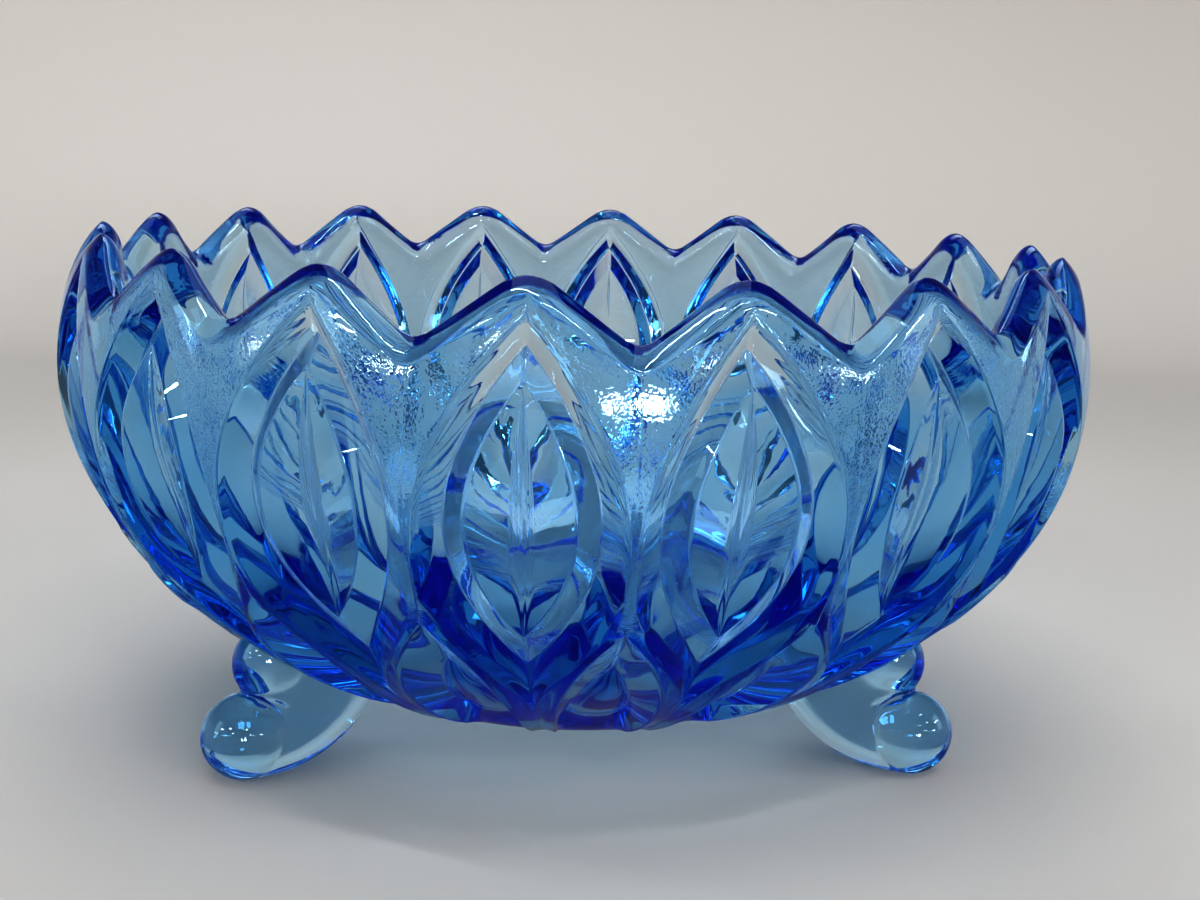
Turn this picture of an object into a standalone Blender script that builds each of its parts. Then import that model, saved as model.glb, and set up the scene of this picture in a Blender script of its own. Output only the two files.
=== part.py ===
"""Footed pressed-glass bowl: a deep round bowl with a scalloped rim, a ring of leaf panels and scroll feet.

The wall is turned: its outer face is an ellipse about the axis, narrower at the rim and the base. Eighteen
leaf panels are pressed into that face. Each one is a set of nested ogives, which are ovals with a point at
each end: the panel's edge lies on the wall, a groove runs inside it, and inside the groove stands the leaf,
whose two halves fall to a valley at its middle. The inner face is smooth. Each foot is a thick slab that
leaves the bowl's underside, runs out to a round toe and curls under a round lobe.

Units are metres and +Z is up. The origin is on the axis, on the table that the feet stand on.
"""

import math

import bmesh
import bpy
from mathutils import Matrix, Vector

# Bowl, overall
HEIGHT = 0.104  # table to the rim's peaks
BELLY_RADIUS = 0.1048  # outer face at its widest
BELLY_HEIGHT = 0.0777  # table to the widest part
RIM_TUCK = 0.0058  # how far the outer face has drawn in from the belly at the height of the peaks
BASE_RADIUS = 0.0445  # flat underside
BASE_HEIGHT = 0.0115  # table to the underside

# Wall thickness: level above the belly, and square to the outer face below it
RIM_WALL = 0.0064
BELLY_WALL = 0.0093
BASE_WALL = 0.008

# Scalloped rim: one scallop to a panel, with its peak over the panel's middle
PANELS = 18
SCALLOP_DEPTH = 0.0099  # peak to valley
PEAK_ROUND = 0.30  # share of half a scallop that rounds its peak
VALLEY_ROUND = 0.15  # share of half a scallop that rounds its valley
RIM_ROUND = 0.0032  # height of the rounded edge

# Leaf panel: how far each ogive's upper point lies under the peak, and its lower point over the underside
EDGE_DROP = 0.0048
EDGE_RISE = 0.013
GROOVE_DROP = 0.0104
GROOVE_RISE = 0.0295
LEAF_DROP = 0.0163
LEAF_RISE = 0.0305
WIDEST_SHARE = 0.48  # where an ogive is widest, as a share of the way from its lower point to its upper one
OGIVE_TOP_POWER = 2.0  # fullness of an ogive's upper part: higher is rounder, with a blunter point
OGIVE_TIP_POWER = 2.2  # fullness of the lower part of the groove and the leaf
EDGE_TIP_POWER = 1.4  # fullness of the lower part of the panel's edge, which sweeps in to a long point
EDGE_STRIP = 0.0012  # plain strip between two panels, at the belly
EDGE_BAND = 0.0044  # sloping band from the panel's edge to its groove
LEAF_BAND = 0.0045  # sloping band from the groove to the leaf's edge

# Depth below the wall's face
GROOVE_TOP_DEPTH = 0.0046
GROOVE_DEPTH = 0.0056
GROOVE_TIP_DEPTH = 0.0018
LEAF_EDGE_DEPTH = 0.0019
LEAF_VALLEY_DEPTH = 0.0053

# Scroll feet
FEET = ("scroll_foot_front_left", "scroll_foot_front_right", "scroll_foot_back")
FIRST_FOOT_ANGLE = math.radians(-150)
FOOT_THICKNESS = 0.015
FOOT_ROUND = 0.005  # radius of the slab's long edges
TOE_RADIUS = 0.0084
TOE_REACH = 0.0762  # axis to the middle of the toe
LOBE_RADIUS = 0.0082
LOBE_LEAN = math.radians(23.7)  # of the line from the toe's middle up to the lobe's, towards the axis
LOBE_OVERLAP = 0.0012  # how far the lobe's circle sinks into the toe's
SOLE_LENGTH = 0.0042  # flat under the foot
HEEL_REACH = 0.049  # axis to where the foot's inner edge meets the bowl
SEAT_GAP = 0.0003  # between a foot and the bowl

GLASS_IOR = 1.52
CREASE_ANGLE = math.radians(25)  # edges sharper than this are shaded as creases

# Fineness of the meshes
OGIVE_ROWS = 10
FLUTE_COLUMNS = 5
RIM_STEPS = 4
INNER_ROWS = 5
FOOT_ARC_STEPS = 12
FOOT_ROUND_STEPS = 3
CUTTER_STEPS = 144
CUTTER_ROWS = 24
WELD = 1e-6

HALF_PANEL = math.pi / PANELS
UPPER_AXIS = (HEIGHT - BELLY_HEIGHT) / math.sqrt(1 - (1 - RIM_TUCK / BELLY_RADIUS) ** 2)
LOWER_AXIS = (BELLY_HEIGHT - BASE_HEIGHT) / math.sqrt(1 - (BASE_RADIUS / BELLY_RADIUS) ** 2)


def blend(a, b, share):
    return a + (b - a) * share


def hump(share):
    """0 at both ends of the way from 0 to 1, and 1 in the middle."""
    return 4 * share * (1 - share)


def wall_point(height):
    """Radius of the outer face at a height, the way into the glass there, and the wall's thickness."""
    rise = height - BELLY_HEIGHT
    if rise > 0:
        radius = BELLY_RADIUS * math.sqrt(1 - (rise / UPPER_AXIS) ** 2)
        thickness = blend(BELLY_WALL, RIM_WALL, rise / (HEIGHT - BELLY_HEIGHT))
        return radius, Vector((-1, 0)), thickness
    radius = BELLY_RADIUS * math.sqrt(1 - (rise / LOWER_AXIS) ** 2)
    inward = -Vector((radius / BELLY_RADIUS**2, rise / LOWER_AXIS**2)).normalized()
    thickness = blend(BELLY_WALL, BASE_WALL, -rise / (BELLY_HEIGHT - BASE_HEIGHT))
    return radius, inward, thickness


def on_wall(angle, height, depth=0.0):
    """Point at a depth under the outer face."""
    radius, inward, _ = wall_point(height)
    r, z = Vector((radius, height)) + inward * depth
    return Vector((r * math.cos(angle), r * math.sin(angle), z))


def crest_height(angle):
    """Top of the scalloped rim: a rounded peak, a straight slope and a rounded valley."""
    share = abs(angle) / HALF_PANEL
    fall = 1 - PEAK_ROUND / 2 - VALLEY_ROUND / 2
    if share < PEAK_ROUND:
        drop = share**2 / (2 * PEAK_ROUND)
    elif share < 1 - VALLEY_ROUND:
        drop = share - PEAK_ROUND / 2
    else:
        drop = fall - (1 - share) ** 2 / (2 * VALLEY_ROUND)
    return HEIGHT - SCALLOP_DEPTH * drop / fall


def ogive(drop, rise, half_width, share, long_tip=False):
    """Angle and height of a point on an ogive, at a share of the way down it."""
    top = HEIGHT - drop
    tip = BASE_HEIGHT + rise
    widest = blend(tip, top, WIDEST_SHARE)
    height = blend(top, tip, share)
    if height > widest:
        above = (height - widest) / (top - widest)
        return half_width * (1 - above**OGIVE_TOP_POWER), height
    below = (widest - height) / (widest - tip)
    if long_tip:
        return half_width * (1 + math.cos(math.pi * below**EDGE_TIP_POWER)) / 2, height
    return half_width * (1 - below**OGIVE_TIP_POWER), height


def panel_edge(share):
    half_width = HALF_PANEL - EDGE_STRIP / 2 / BELLY_RADIUS
    return ogive(EDGE_DROP, EDGE_RISE, half_width, share, long_tip=True)


def groove(share):
    half_width = HALF_PANEL - (EDGE_STRIP / 2 + EDGE_BAND) / BELLY_RADIUS
    return ogive(GROOVE_DROP, GROOVE_RISE, half_width, share)


def leaf_edge(share):
    half_width = HALF_PANEL - (EDGE_STRIP / 2 + EDGE_BAND + LEAF_BAND) / BELLY_RADIUS
    return ogive(LEAF_DROP, LEAF_RISE, half_width, share)


def groove_depth(share):
    ends = blend(GROOVE_TOP_DEPTH, GROOVE_TIP_DEPTH, share)
    middle = GROOVE_DEPTH - (GROOVE_TOP_DEPTH + GROOVE_TIP_DEPTH) / 2
    return ends + middle * hump(share)


def flute_point(column, share):
    """Plain wall between the panel's edge and the middle of the valley beside it.

    A column stands at a fixed angle, and where the panel is wider than that it lies on the panel's edge.
    """
    edge_angle, edge_height = panel_edge(share)
    angle = max(HALF_PANEL * column / FLUTE_COLUMNS, edge_angle)
    across = (angle - edge_angle) / (HALF_PANEL - edge_angle)
    valley_height = blend(crest_height(HALF_PANEL) - EDGE_DROP, BASE_HEIGHT + EDGE_RISE, share)
    return on_wall(angle, blend(edge_height, valley_height, across))


def panel_point(column, row):
    """Half a panel: the leaf's valley, the leaf's edge, the groove, the panel's edge, then the plain wall."""
    share = row / OGIVE_ROWS
    if column == 0:
        depth = blend(LEAF_EDGE_DEPTH, LEAF_VALLEY_DEPTH, hump(share))
        return on_wall(0.0, leaf_edge(share)[1], depth)
    if column == 1:
        return on_wall(*leaf_edge(share), LEAF_EDGE_DEPTH)
    if column == 2:
        return on_wall(*groove(share), groove_depth(share))
    return flute_point(column - 3, share)


def wall_turn(height):
    """Turn round the ellipse from the belly to a height, positive upwards."""
    rise = height - BELLY_HEIGHT
    return math.asin(rise / (UPPER_AXIS if rise > 0 else LOWER_AXIS))


def wall_height(turn):
    return BELLY_HEIGHT + math.sin(turn) * (UPPER_AXIS if turn > 0 else LOWER_AXIS)


def inner_point(angle, share):
    """Point on the smooth inner face, at a share of the way from the rim to the floor of the bowl."""
    rim_turn = wall_turn(crest_height(angle) - RIM_ROUND)
    height = wall_height(blend(rim_turn, wall_turn(BASE_HEIGHT), share))
    return on_wall(angle, height, wall_point(height)[2])


def rim_point(column, row):
    """From the plain wall above the panel over the rounded edge and down the inner face."""
    angle = HALF_PANEL * column / FLUTE_COLUMNS
    if row == 0:
        return flute_point(column, 0.0)
    if row > RIM_STEPS + 1:
        return inner_point(angle, (row - RIM_STEPS - 1) / INNER_ROWS)
    outer = on_wall(angle, crest_height(angle) - RIM_ROUND)
    inner = inner_point(angle, 0.0)
    turn = math.pi * (row - 1) / RIM_STEPS
    middle = (outer + inner) / 2
    return middle + (outer - middle) * math.cos(turn) + Vector((0, 0, RIM_ROUND * math.sin(turn)))


def base_point(column, row):
    """From under the panels to the edge of the flat underside."""
    if row == 0:
        return flute_point(column, 1.0)
    return on_wall(HALF_PANEL * column / FLUTE_COLUMNS, BASE_HEIGHT)


def add_grid(bm, columns, rows, place):
    """Adds a grid and moves each of its points to the place for its column and row."""
    made = bmesh.ops.create_grid(bm, x_segments=columns, y_segments=rows, size=0.5)
    for vert in made["verts"]:
        column = round((vert.co.x + 0.5) * columns)
        row = round((vert.co.y + 0.5) * rows)
        vert.co = place(column, row)


def mesh_from(bm, name):
    mesh = bpy.data.meshes.new(name)
    bm.to_mesh(mesh)
    bm.free()
    mesh.shade_smooth()
    mesh.set_sharp_from_angle(angle=CREASE_ANGLE)
    return mesh


def bowl_mesh():
    """Half a panel, mirrored, repeated round the axis and closed by the underside and the floor."""
    bm = bmesh.new()
    add_grid(bm, FLUTE_COLUMNS + 3, OGIVE_ROWS, panel_point)
    add_grid(bm, FLUTE_COLUMNS, RIM_STEPS + 1 + INNER_ROWS, rim_point)
    add_grid(bm, FLUTE_COLUMNS, 1, base_point)
    half = bm.verts[:] + bm.edges[:] + bm.faces[:]
    bmesh.ops.mirror(bm, geom=half, matrix=Matrix(), merge_dist=WELD, axis="Y")
    bmesh.ops.spin(
        bm,
        geom=bm.verts[:] + bm.edges[:] + bm.faces[:],
        axis=(0, 0, 1),
        cent=(0, 0, 0),
        angle=2 * math.pi * (PANELS - 1) / PANELS,
        steps=PANELS - 1,
        use_duplicate=True,
    )
    bmesh.ops.remove_doubles(bm, verts=bm.verts, dist=WELD)
    bmesh.ops.dissolve_degenerate(bm, edges=bm.edges, dist=WELD)
    bmesh.ops.holes_fill(bm, edges=bm.edges, sides=0)
    bmesh.ops.recalc_face_normals(bm, faces=bm.faces)
    return mesh_from(bm, "bowl_body")


def arc(centre, radius, start, end, steps):
    """Points along an arc, as (x, z), with angles from +X towards +Z."""
    points = []
    for step in range(steps + 1):
        turn = blend(start, end, step / steps)
        points.append(centre + radius * Vector((math.cos(turn), math.sin(turn))))
    return points


def foot_outline():
    """Side view of a foot, reaching out along +X: toe, notch, lobe, root inside the bowl and inner edge."""
    # The toe and the lobe are round, and the notch is where their circles cross on the outer side.
    toe = Vector((TOE_REACH, TOE_RADIUS))
    way = Vector((-math.sin(LOBE_LEAN), math.cos(LOBE_LEAN)))
    apart = TOE_RADIUS + LOBE_RADIUS - LOBE_OVERLAP
    lobe = toe + way * apart
    along = (TOE_RADIUS**2 - LOBE_RADIUS**2 + apart**2) / (2 * apart)
    aside = math.sqrt(TOE_RADIUS**2 - along**2)
    notch = toe + way * along + Vector((way.y, -way.x)) * aside
    toe_end = math.atan2(notch.y - toe.y, notch.x - toe.x)
    lobe_start = math.atan2(notch.y - lobe.y, notch.x - lobe.x)
    points = arc(toe, TOE_RADIUS, -math.pi / 2, toe_end, FOOT_ARC_STEPS)
    points += arc(lobe, LOBE_RADIUS, lobe_start, math.pi / 2, FOOT_ARC_STEPS)[1:]
    # The inner edge is an arc that leaves the sole level and meets the bowl's face at the heel.
    sole_end = TOE_REACH - SOLE_LENGTH
    reach = sole_end - HEEL_REACH
    heel_height = BELLY_HEIGHT - LOWER_AXIS * math.sqrt(1 - (HEEL_REACH / BELLY_RADIUS) ** 2)
    radius = (reach**2 + heel_height**2) / (2 * heel_height)
    heel_turn = -math.pi / 2 - 2 * math.atan2(heel_height, reach)
    root = Vector((HEEL_REACH, lobe.y + LOBE_RADIUS))
    return points + [root] + arc(Vector((sole_end, radius)), radius, heel_turn, -math.pi / 2, FOOT_ARC_STEPS)


def foot_mesh(name):
    """Half the slab, from its middle plane to its rounded side, mirrored."""
    bm = bmesh.new()
    middle = bm.faces.new([bm.verts.new((x, 0, z)) for x, z in foot_outline()])
    side = bmesh.ops.extrude_face_region(bm, geom=[middle], use_keep_orig=True)["geom"]
    cap = next(item for item in side if isinstance(item, bmesh.types.BMFace))
    bmesh.ops.translate(bm, verts=cap.verts, vec=(0, FOOT_THICKNESS / 2 - FOOT_ROUND, 0))
    bmesh.ops.delete(bm, geom=[middle], context="FACES_ONLY")
    bmesh.ops.recalc_face_normals(bm, faces=bm.faces)
    turns = [math.pi / 2 * step / FOOT_ROUND_STEPS for step in range(FOOT_ROUND_STEPS + 1)]
    for before, after in zip(turns, turns[1:]):
        bmesh.ops.inset_region(
            bm,
            faces=[cap],
            thickness=FOOT_ROUND * (math.cos(before) - math.cos(after)),
            depth=FOOT_ROUND * (math.sin(after) - math.sin(before)),
            use_boundary=True,
            use_even_offset=True,
        )
    half = bm.verts[:] + bm.edges[:] + bm.faces[:]
    bmesh.ops.mirror(bm, geom=half, matrix=Matrix(), merge_dist=WELD, axis="Y")
    bmesh.ops.remove_doubles(bm, verts=bm.verts, dist=WELD)
    bmesh.ops.recalc_face_normals(bm, faces=bm.faces)
    return mesh_from(bm, name)


def seat_profile():
    """Half section of the bowl's filled outer shape, grown by the seat gap, down its outer side."""
    points = [Vector((0, BELLY_HEIGHT))]
    for row in range(CUTTER_ROWS + 1):
        height = wall_height(wall_turn(BASE_HEIGHT) * row / CUTTER_ROWS)
        radius, inward, _ = wall_point(height)
        points.append(Vector((radius, height)) - inward * SEAT_GAP)
    points.append(Vector((0, points[-1].y)))
    return points


def make_seat_cutter(collection):
    """Turned cutter that shapes the top of each foot to the bowl's underside."""
    points = seat_profile()
    mesh = bpy.data.meshes.new("seat_cutter")
    edges = [(i, i + 1) for i in range(len(points) - 1)]
    mesh.from_pydata([(r, 0, z) for r, z in points], edges, [])
    cutter = bpy.data.objects.new("seat_cutter", mesh)
    turned = cutter.modifiers.new("turned", "SCREW")
    turned.axis = "Z"
    turned.steps = CUTTER_STEPS
    turned.render_steps = CUTTER_STEPS
    turned.use_merge_vertices = True
    turned.merge_threshold = WELD
    cutter.hide_render = True
    cutter.display_type = "WIRE"
    collection.objects.link(cutter)
    return cutter


def glass(name, colour, roughness):
    material = bpy.data.materials.new(name)
    material.use_nodes = True
    shader = material.node_tree.nodes["Principled BSDF"]
    shader.inputs["Base Color"].default_value = (*colour, 1)
    shader.inputs["Roughness"].default_value = roughness
    shader.inputs["Metallic"].default_value = 0.0
    shader.inputs["Transmission Weight"].default_value = 1.0
    shader.inputs["IOR"].default_value = GLASS_IOR
    return material


def add_object(collection, name, mesh, material):
    item = bpy.data.objects.new(name, mesh)
    mesh.materials.append(material)
    collection.objects.link(item)
    return item


def build():
    for item in list(bpy.data.objects):
        bpy.data.objects.remove(item)
    scene = bpy.context.scene.collection
    parts = bpy.data.collections.new("footed_glass_bowl")
    cutters = bpy.data.collections.new("cutters")
    scene.children.link(parts)
    scene.children.link(cutters)

    add_object(parts, "bowl_body", bowl_mesh(), glass("bowl_glass", (0.16, 0.42, 0.68), 0.03))
    cutter = make_seat_cutter(cutters)
    foot_glass = glass("foot_glass", (0.10, 0.36, 0.62), 0.04)
    for index, name in enumerate(FEET):
        foot = add_object(parts, name, foot_mesh(name), foot_glass)
        foot.rotation_euler.z = FIRST_FOOT_ANGLE + 2 * math.pi * index / len(FEET)
        seat = foot.modifiers.new("seat", "BOOLEAN")
        seat.operation = "DIFFERENCE"
        seat.solver = "EXACT"
        seat.object = cutter


build()
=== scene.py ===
# %% [markdown]
# # A footed bowl in clear blue pressed glass
# The bowl is pressed in a mould: a deep round wall with a scalloped rim, a ring of leaf panels sunk
# into its outer face, and scroll feet. The imported solids are the fixed frame. They carry the bowl's
# sizes, so the first step loads them.

# %% Load the frame
import math

import bmesh
import bpy
from mathutils import Matrix, Vector, noise


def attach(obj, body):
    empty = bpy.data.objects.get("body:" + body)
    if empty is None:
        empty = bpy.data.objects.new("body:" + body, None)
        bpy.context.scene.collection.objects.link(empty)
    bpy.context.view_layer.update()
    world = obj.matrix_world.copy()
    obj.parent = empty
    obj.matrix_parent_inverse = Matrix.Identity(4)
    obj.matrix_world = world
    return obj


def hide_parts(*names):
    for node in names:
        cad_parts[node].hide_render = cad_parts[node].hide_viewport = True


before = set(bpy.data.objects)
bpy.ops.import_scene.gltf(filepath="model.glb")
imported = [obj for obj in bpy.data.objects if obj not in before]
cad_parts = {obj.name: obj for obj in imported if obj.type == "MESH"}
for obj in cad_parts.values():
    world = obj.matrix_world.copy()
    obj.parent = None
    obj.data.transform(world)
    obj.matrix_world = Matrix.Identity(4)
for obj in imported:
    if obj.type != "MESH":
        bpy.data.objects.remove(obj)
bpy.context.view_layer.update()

print("nodes:", ", ".join(sorted(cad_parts)))

# %% [markdown]
# ## Camera
# The picture was taken from a little above the rim, close to the bowl and almost level. The camera's
# place, tilt and lens were worked out from where the rim's peaks lie in the picture: they form a ring
# of equal steps, and only one camera sees it that way. A camera looks along its own -Z axis, so its
# matrix has three columns: right, up and backwards.

# %% Place the camera
PITCH = math.radians(11.2444)
ROLL = math.radians(1.91105)
CAMERA_SIDE = math.radians(-5.4514)
YAW = CAMERA_SIDE + math.radians(-0.89935)
CAMERA_DISTANCE = 0.34981
CAMERA_HEIGHT = 0.1276
SENSOR_WIDTH = 36.0
FOCAL_LENGTH = 49.968

forward = Vector((0, math.cos(PITCH), -math.sin(PITCH)))
up = Vector((0, math.sin(PITCH), math.cos(PITCH)))
right = Vector((1, 0, 0))
rolled_right = right * math.cos(ROLL) + up * math.sin(ROLL)
rolled_up = up * math.cos(ROLL) - right * math.sin(ROLL)
turn = Matrix.Rotation(YAW, 3, "Z")
columns = (turn @ rolled_right, turn @ rolled_up, turn @ -forward)

lens = bpy.data.cameras.new("camera")
lens.sensor_width = SENSOR_WIDTH
lens.lens = FOCAL_LENGTH
lens.clip_start = 0.01
camera = bpy.data.objects.new("camera", lens)
away = Vector((math.sin(CAMERA_SIDE), -math.cos(CAMERA_SIDE), 0)) * CAMERA_DISTANCE
place = Matrix.Translation(away + Vector((0, 0, CAMERA_HEIGHT)))
camera.matrix_world = place @ Matrix(columns).transposed().to_4x4()
bpy.context.scene.collection.objects.link(camera)
bpy.context.scene.camera = camera
print("camera at", [round(value, 4) for value in camera.location])

# %% [markdown]
# ## The turned wall
# Leave the pattern aside, and the bowl's outer face is a piece of turning: an ellipse spun about the
# axis, which draws in towards the rim and the base. Every point of the pattern is found on this face
# first, by its angle and height, and is then sunk into the glass. Above the belly "into the glass"
# means level, and below it means square to the face, so the wall keeps its thickness as it curves
# under.

# %% Sizes of the wall in metres, and a point on it
HEIGHT = 0.104
BELLY_RADIUS = 0.1048
BELLY_HEIGHT = 0.0777
RIM_TUCK = 0.0058
BASE_RADIUS = 0.0445
BASE_HEIGHT = 0.0115
RIM_WALL = 0.0064
BELLY_WALL = 0.0093
BASE_WALL = 0.0120
UPPER_AXIS = (HEIGHT - BELLY_HEIGHT) / math.sqrt(1 - (1 - RIM_TUCK / BELLY_RADIUS) ** 2)
LOWER_AXIS = (BELLY_HEIGHT - BASE_HEIGHT) / math.sqrt(1 - (BASE_RADIUS / BELLY_RADIUS) ** 2)


def blend(a, b, share):
    return a + (b - a) * share


def wall_at(height):
    """Radius, way into the glass and thickness of the wall at a height."""
    rise = height - BELLY_HEIGHT
    if rise > 0:
        radius = BELLY_RADIUS * math.sqrt(1 - (rise / UPPER_AXIS) ** 2)
        return radius, Vector((-1, 0)), blend(BELLY_WALL, RIM_WALL, rise / (HEIGHT - BELLY_HEIGHT))
    radius = BELLY_RADIUS * math.sqrt(1 - (rise / LOWER_AXIS) ** 2)
    inward = -Vector((radius / BELLY_RADIUS**2, rise / LOWER_AXIS**2)).normalized()
    return radius, inward, blend(BELLY_WALL, BASE_WALL, -rise / (BELLY_HEIGHT - BASE_HEIGHT))


def on_wall(angle, height, depth=0.0):
    radius, inward, _ = wall_at(height)
    r, z = Vector((radius, height)) + inward * depth
    return Vector((r * math.cos(angle), r * math.sin(angle), z))


def wall_turn(height):
    """The turn on the ellipse that gives a height, so that rows can be spaced evenly along the wall."""
    rise = height - BELLY_HEIGHT
    return math.asin(rise / (UPPER_AXIS if rise > 0 else LOWER_AXIS))


def wall_height(turn):
    return BELLY_HEIGHT + math.sin(turn) * (UPPER_AXIS if turn > 0 else LOWER_AXIS)


for name, height in (("rim", HEIGHT), ("belly", BELLY_HEIGHT), ("base", BASE_HEIGHT)):
    print("wall's radius at the", name, round(wall_at(height)[0], 4))

# %% [markdown]
# ## The lines of one panel
# A panel is a set of nested ogives, which are ovals with a point at each end. The outermost is the
# panel's edge, then comes the bottom of a groove, then the edge of the leaf. Under the meeting of two
# panels sits a small sepal with a bud in it, both pointed arches about the line between the panels. A
# displacement map could press such lines in, but it would blur every ridge. Here each line gives an
# angle from the panel's middle, so the mesh can have a column of points exactly on it, and every ridge
# of the glass is a clean edge loop.

# %% The ogives
PANELS = 18
HALF_PANEL = math.pi / PANELS
SCALLOP_DEPTH = 0.0099
PEAK_ROUND = 0.30
VALLEY_ROUND = 0.15
EDGE_TOP = HEIGHT - 0.0048
EDGE_TIP = BASE_HEIGHT + 0.013
EDGE_WIDTH = math.radians(9.67)
GROOVE_TOP = HEIGHT - 0.0104
GROOVE_TIP = BASE_HEIGHT + 0.0238
GROOVE_WIDTH = math.radians(7.27)
LEAF_TOP = HEIGHT - 0.0157
LEAF_TIP = BASE_HEIGHT + 0.0328
LEAF_WIDTH = math.radians(5.05)
WIDEST = 0.48
TOP_POWER = 2.0
TIP_POWER = 2.2
LONG_TIP_POWER = 1.4
SEPAL_TOP = 0.0468
SEPAL_WIDTH = math.radians(7.6)
SEPAL_ROUND = 2.8
BUD_TOP = 0.0335
BUD_WIDTH = math.radians(6.0)
BUD_ROUND = 1.6
VALLEY_END = 0.0210


def ogive(top, tip, half_width, share, long_tip=False):
    """Angle and height at a share of the way down an ogive."""
    widest = blend(tip, top, WIDEST)
    height = blend(top, tip, share)
    if height > widest:
        return half_width * (1 - ((height - widest) / (top - widest)) ** TOP_POWER), height
    below = (widest - height) / (widest - tip)
    if long_tip:
        return half_width * (1 + math.cos(math.pi * below**LONG_TIP_POWER)) / 2, height
    return half_width * (1 - below**TIP_POWER), height


def arch(height, top, half_width, power):
    """Half the width of a pointed arch that stands on the base, as an angle."""
    if height >= top:
        return 0.0
    return half_width * (1 - max(0.0, (height - BASE_HEIGHT) / (top - BASE_HEIGHT)) ** power)


def sepal_width(height):
    return arch(height, SEPAL_TOP, SEPAL_WIDTH, SEPAL_ROUND)


def bud_width(height):
    return arch(height, BUD_TOP, BUD_WIDTH, BUD_ROUND)


def crest_height(angle):
    """Top of the rim: a rounded peak, a straight slope and a tighter valley."""
    share = abs(angle) / HALF_PANEL
    fall = 1 - PEAK_ROUND / 2 - VALLEY_ROUND / 2
    if share < PEAK_ROUND:
        drop = share**2 / (2 * PEAK_ROUND)
    elif share < 1 - VALLEY_ROUND:
        drop = share - PEAK_ROUND / 2
    else:
        drop = fall - (1 - share) ** 2 / (2 * VALLEY_ROUND)
    return HEIGHT - SCALLOP_DEPTH * drop / fall


print("rim valley at", round(crest_height(HALF_PANEL), 4), "m")

# %% [markdown]
# ## The relief
# Depths are measured into the glass. The panel's edge is a soft shoulder on the wall. From it a band
# falls to the groove, the deepest line, a little bowed near the top, and the leaf's edge stands up
# again. The two halves of the leaf fall to its middle, where a fine rib runs down. Veins rise from the
# rib towards the leaf's edge, with the leaf puffed up a little between them, and they wander, because
# the mould was cut by hand. A fine ridge outlines each sepal, and inside it a groove runs round a low
# bud.

# %% Depth of the panel's lines
GROOVE_TOP_DEPTH = 0.0046
GROOVE_DEPTH = 0.0046
GROOVE_TIP_DEPTH = 0.0034
LEAF_TOP_DEPTH = 0.0024
LEAF_EDGE_DEPTH = 0.0014
LEAF_MIDDLE_DEPTH = 0.0050
BAND_BOW = 0.7
SHOULDER_DEPTH = 0.00028
SHOULDER_REACH = 0.00032
LEAF_TOP_SHARE = 0.35


def clamp01(value):
    return min(1.0, max(0.0, value))


def ease(value):
    value = clamp01(value)
    return value * value * (3 - 2 * value)


def hump(share):
    return 4 * share * (1 - share)


def groove_depth(share):
    middle = GROOVE_DEPTH - (GROOVE_TOP_DEPTH + GROOVE_TIP_DEPTH) / 2
    return blend(GROOVE_TOP_DEPTH, GROOVE_TIP_DEPTH, share) + middle * hump(share)


def leaf_depth(share):
    return blend(LEAF_TOP_DEPTH, LEAF_EDGE_DEPTH, ease(share / LEAF_TOP_SHARE))


print("groove at the top, middle and tip:", [round(groove_depth(share), 4) for share in (0.0, 0.5, 1.0)])

# %% Height of the rib and the veins
RIB_HEIGHT = 0.0008
RIB_WIDTH = 0.10
RIB_FADE = 0.06
VEIN_HEIGHT = 0.00010
PUFF_HEIGHT = 0.00006
VEIN_EVERY = 7
VEIN_LAG = 0.17
VEIN_WANDER = 0.6
VEIN_STRENGTH = 0.6
VEIN_VARIETY = 0.8
VEIN_FADES = (0.08, 0.35, 0.12)


def rib_lift(share, across):
    return RIB_HEIGHT * (1 - ease(across / RIB_WIDTH)) * ease(min(share, 1 - share) / RIB_FADE)


def vein_lift(row, rows, across):
    """How far veins and the puffed leaf between them stand up, at a row and a share of the leaf's width."""
    at_rib, at_edge, at_ends = VEIN_FADES
    fade = ease(across / at_rib) * ease((1 - across) / at_edge)
    fade *= ease(min(row, rows - row) / (at_ends * rows))
    wander = VEIN_WANDER * noise.noise(Vector((row / VEIN_EVERY, 3 * across, 0.5)))
    place = row / VEIN_EVERY + wander
    step = place - math.floor(place)
    strength = VEIN_STRENGTH + VEIN_VARIETY * noise.noise(Vector((round(place), 2.5 * across, 4.5)))
    ridge = max(0.0, 1 - min(step, 1 - step) * VEIN_EVERY / 2)
    return fade * (VEIN_HEIGHT * strength * ridge + PUFF_HEIGHT * hump(step))


print("rib", round(1000 * rib_lift(0.5, 0.0), 2), "mm high, a vein every", VEIN_EVERY, "rows")

# %% Depth of the sepal and its bud
SEPAL_DEPTH = 0.0042
SEPAL_RIDGE = 0.0004
SEPAL_REACH = 0.0007
SEPAL_POINT = 0.003
BUD_DEPTH = 0.0029
BUD_POINT = 0.005
SEPAL_FOOT = 0.004
RIDGE_FOOT = 0.003


def above_base(height, reach):
    return ease((height - BASE_HEIGHT) / reach)


def sepal_depth(height):
    """Depth of the groove round the bud: none at the sepal's point and at the base."""
    fall = clamp01((SEPAL_TOP - height) / (SEPAL_TOP - BUD_TOP))
    return SEPAL_DEPTH * fall * (2 - fall) * above_base(height, SEPAL_FOOT)


def bud_lift(height):
    """How far the bud's middle stands above the groove round it."""
    return (SEPAL_DEPTH - BUD_DEPTH) * ease((BUD_TOP - height) / BUD_POINT) * above_base(height, SEPAL_FOOT)


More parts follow.
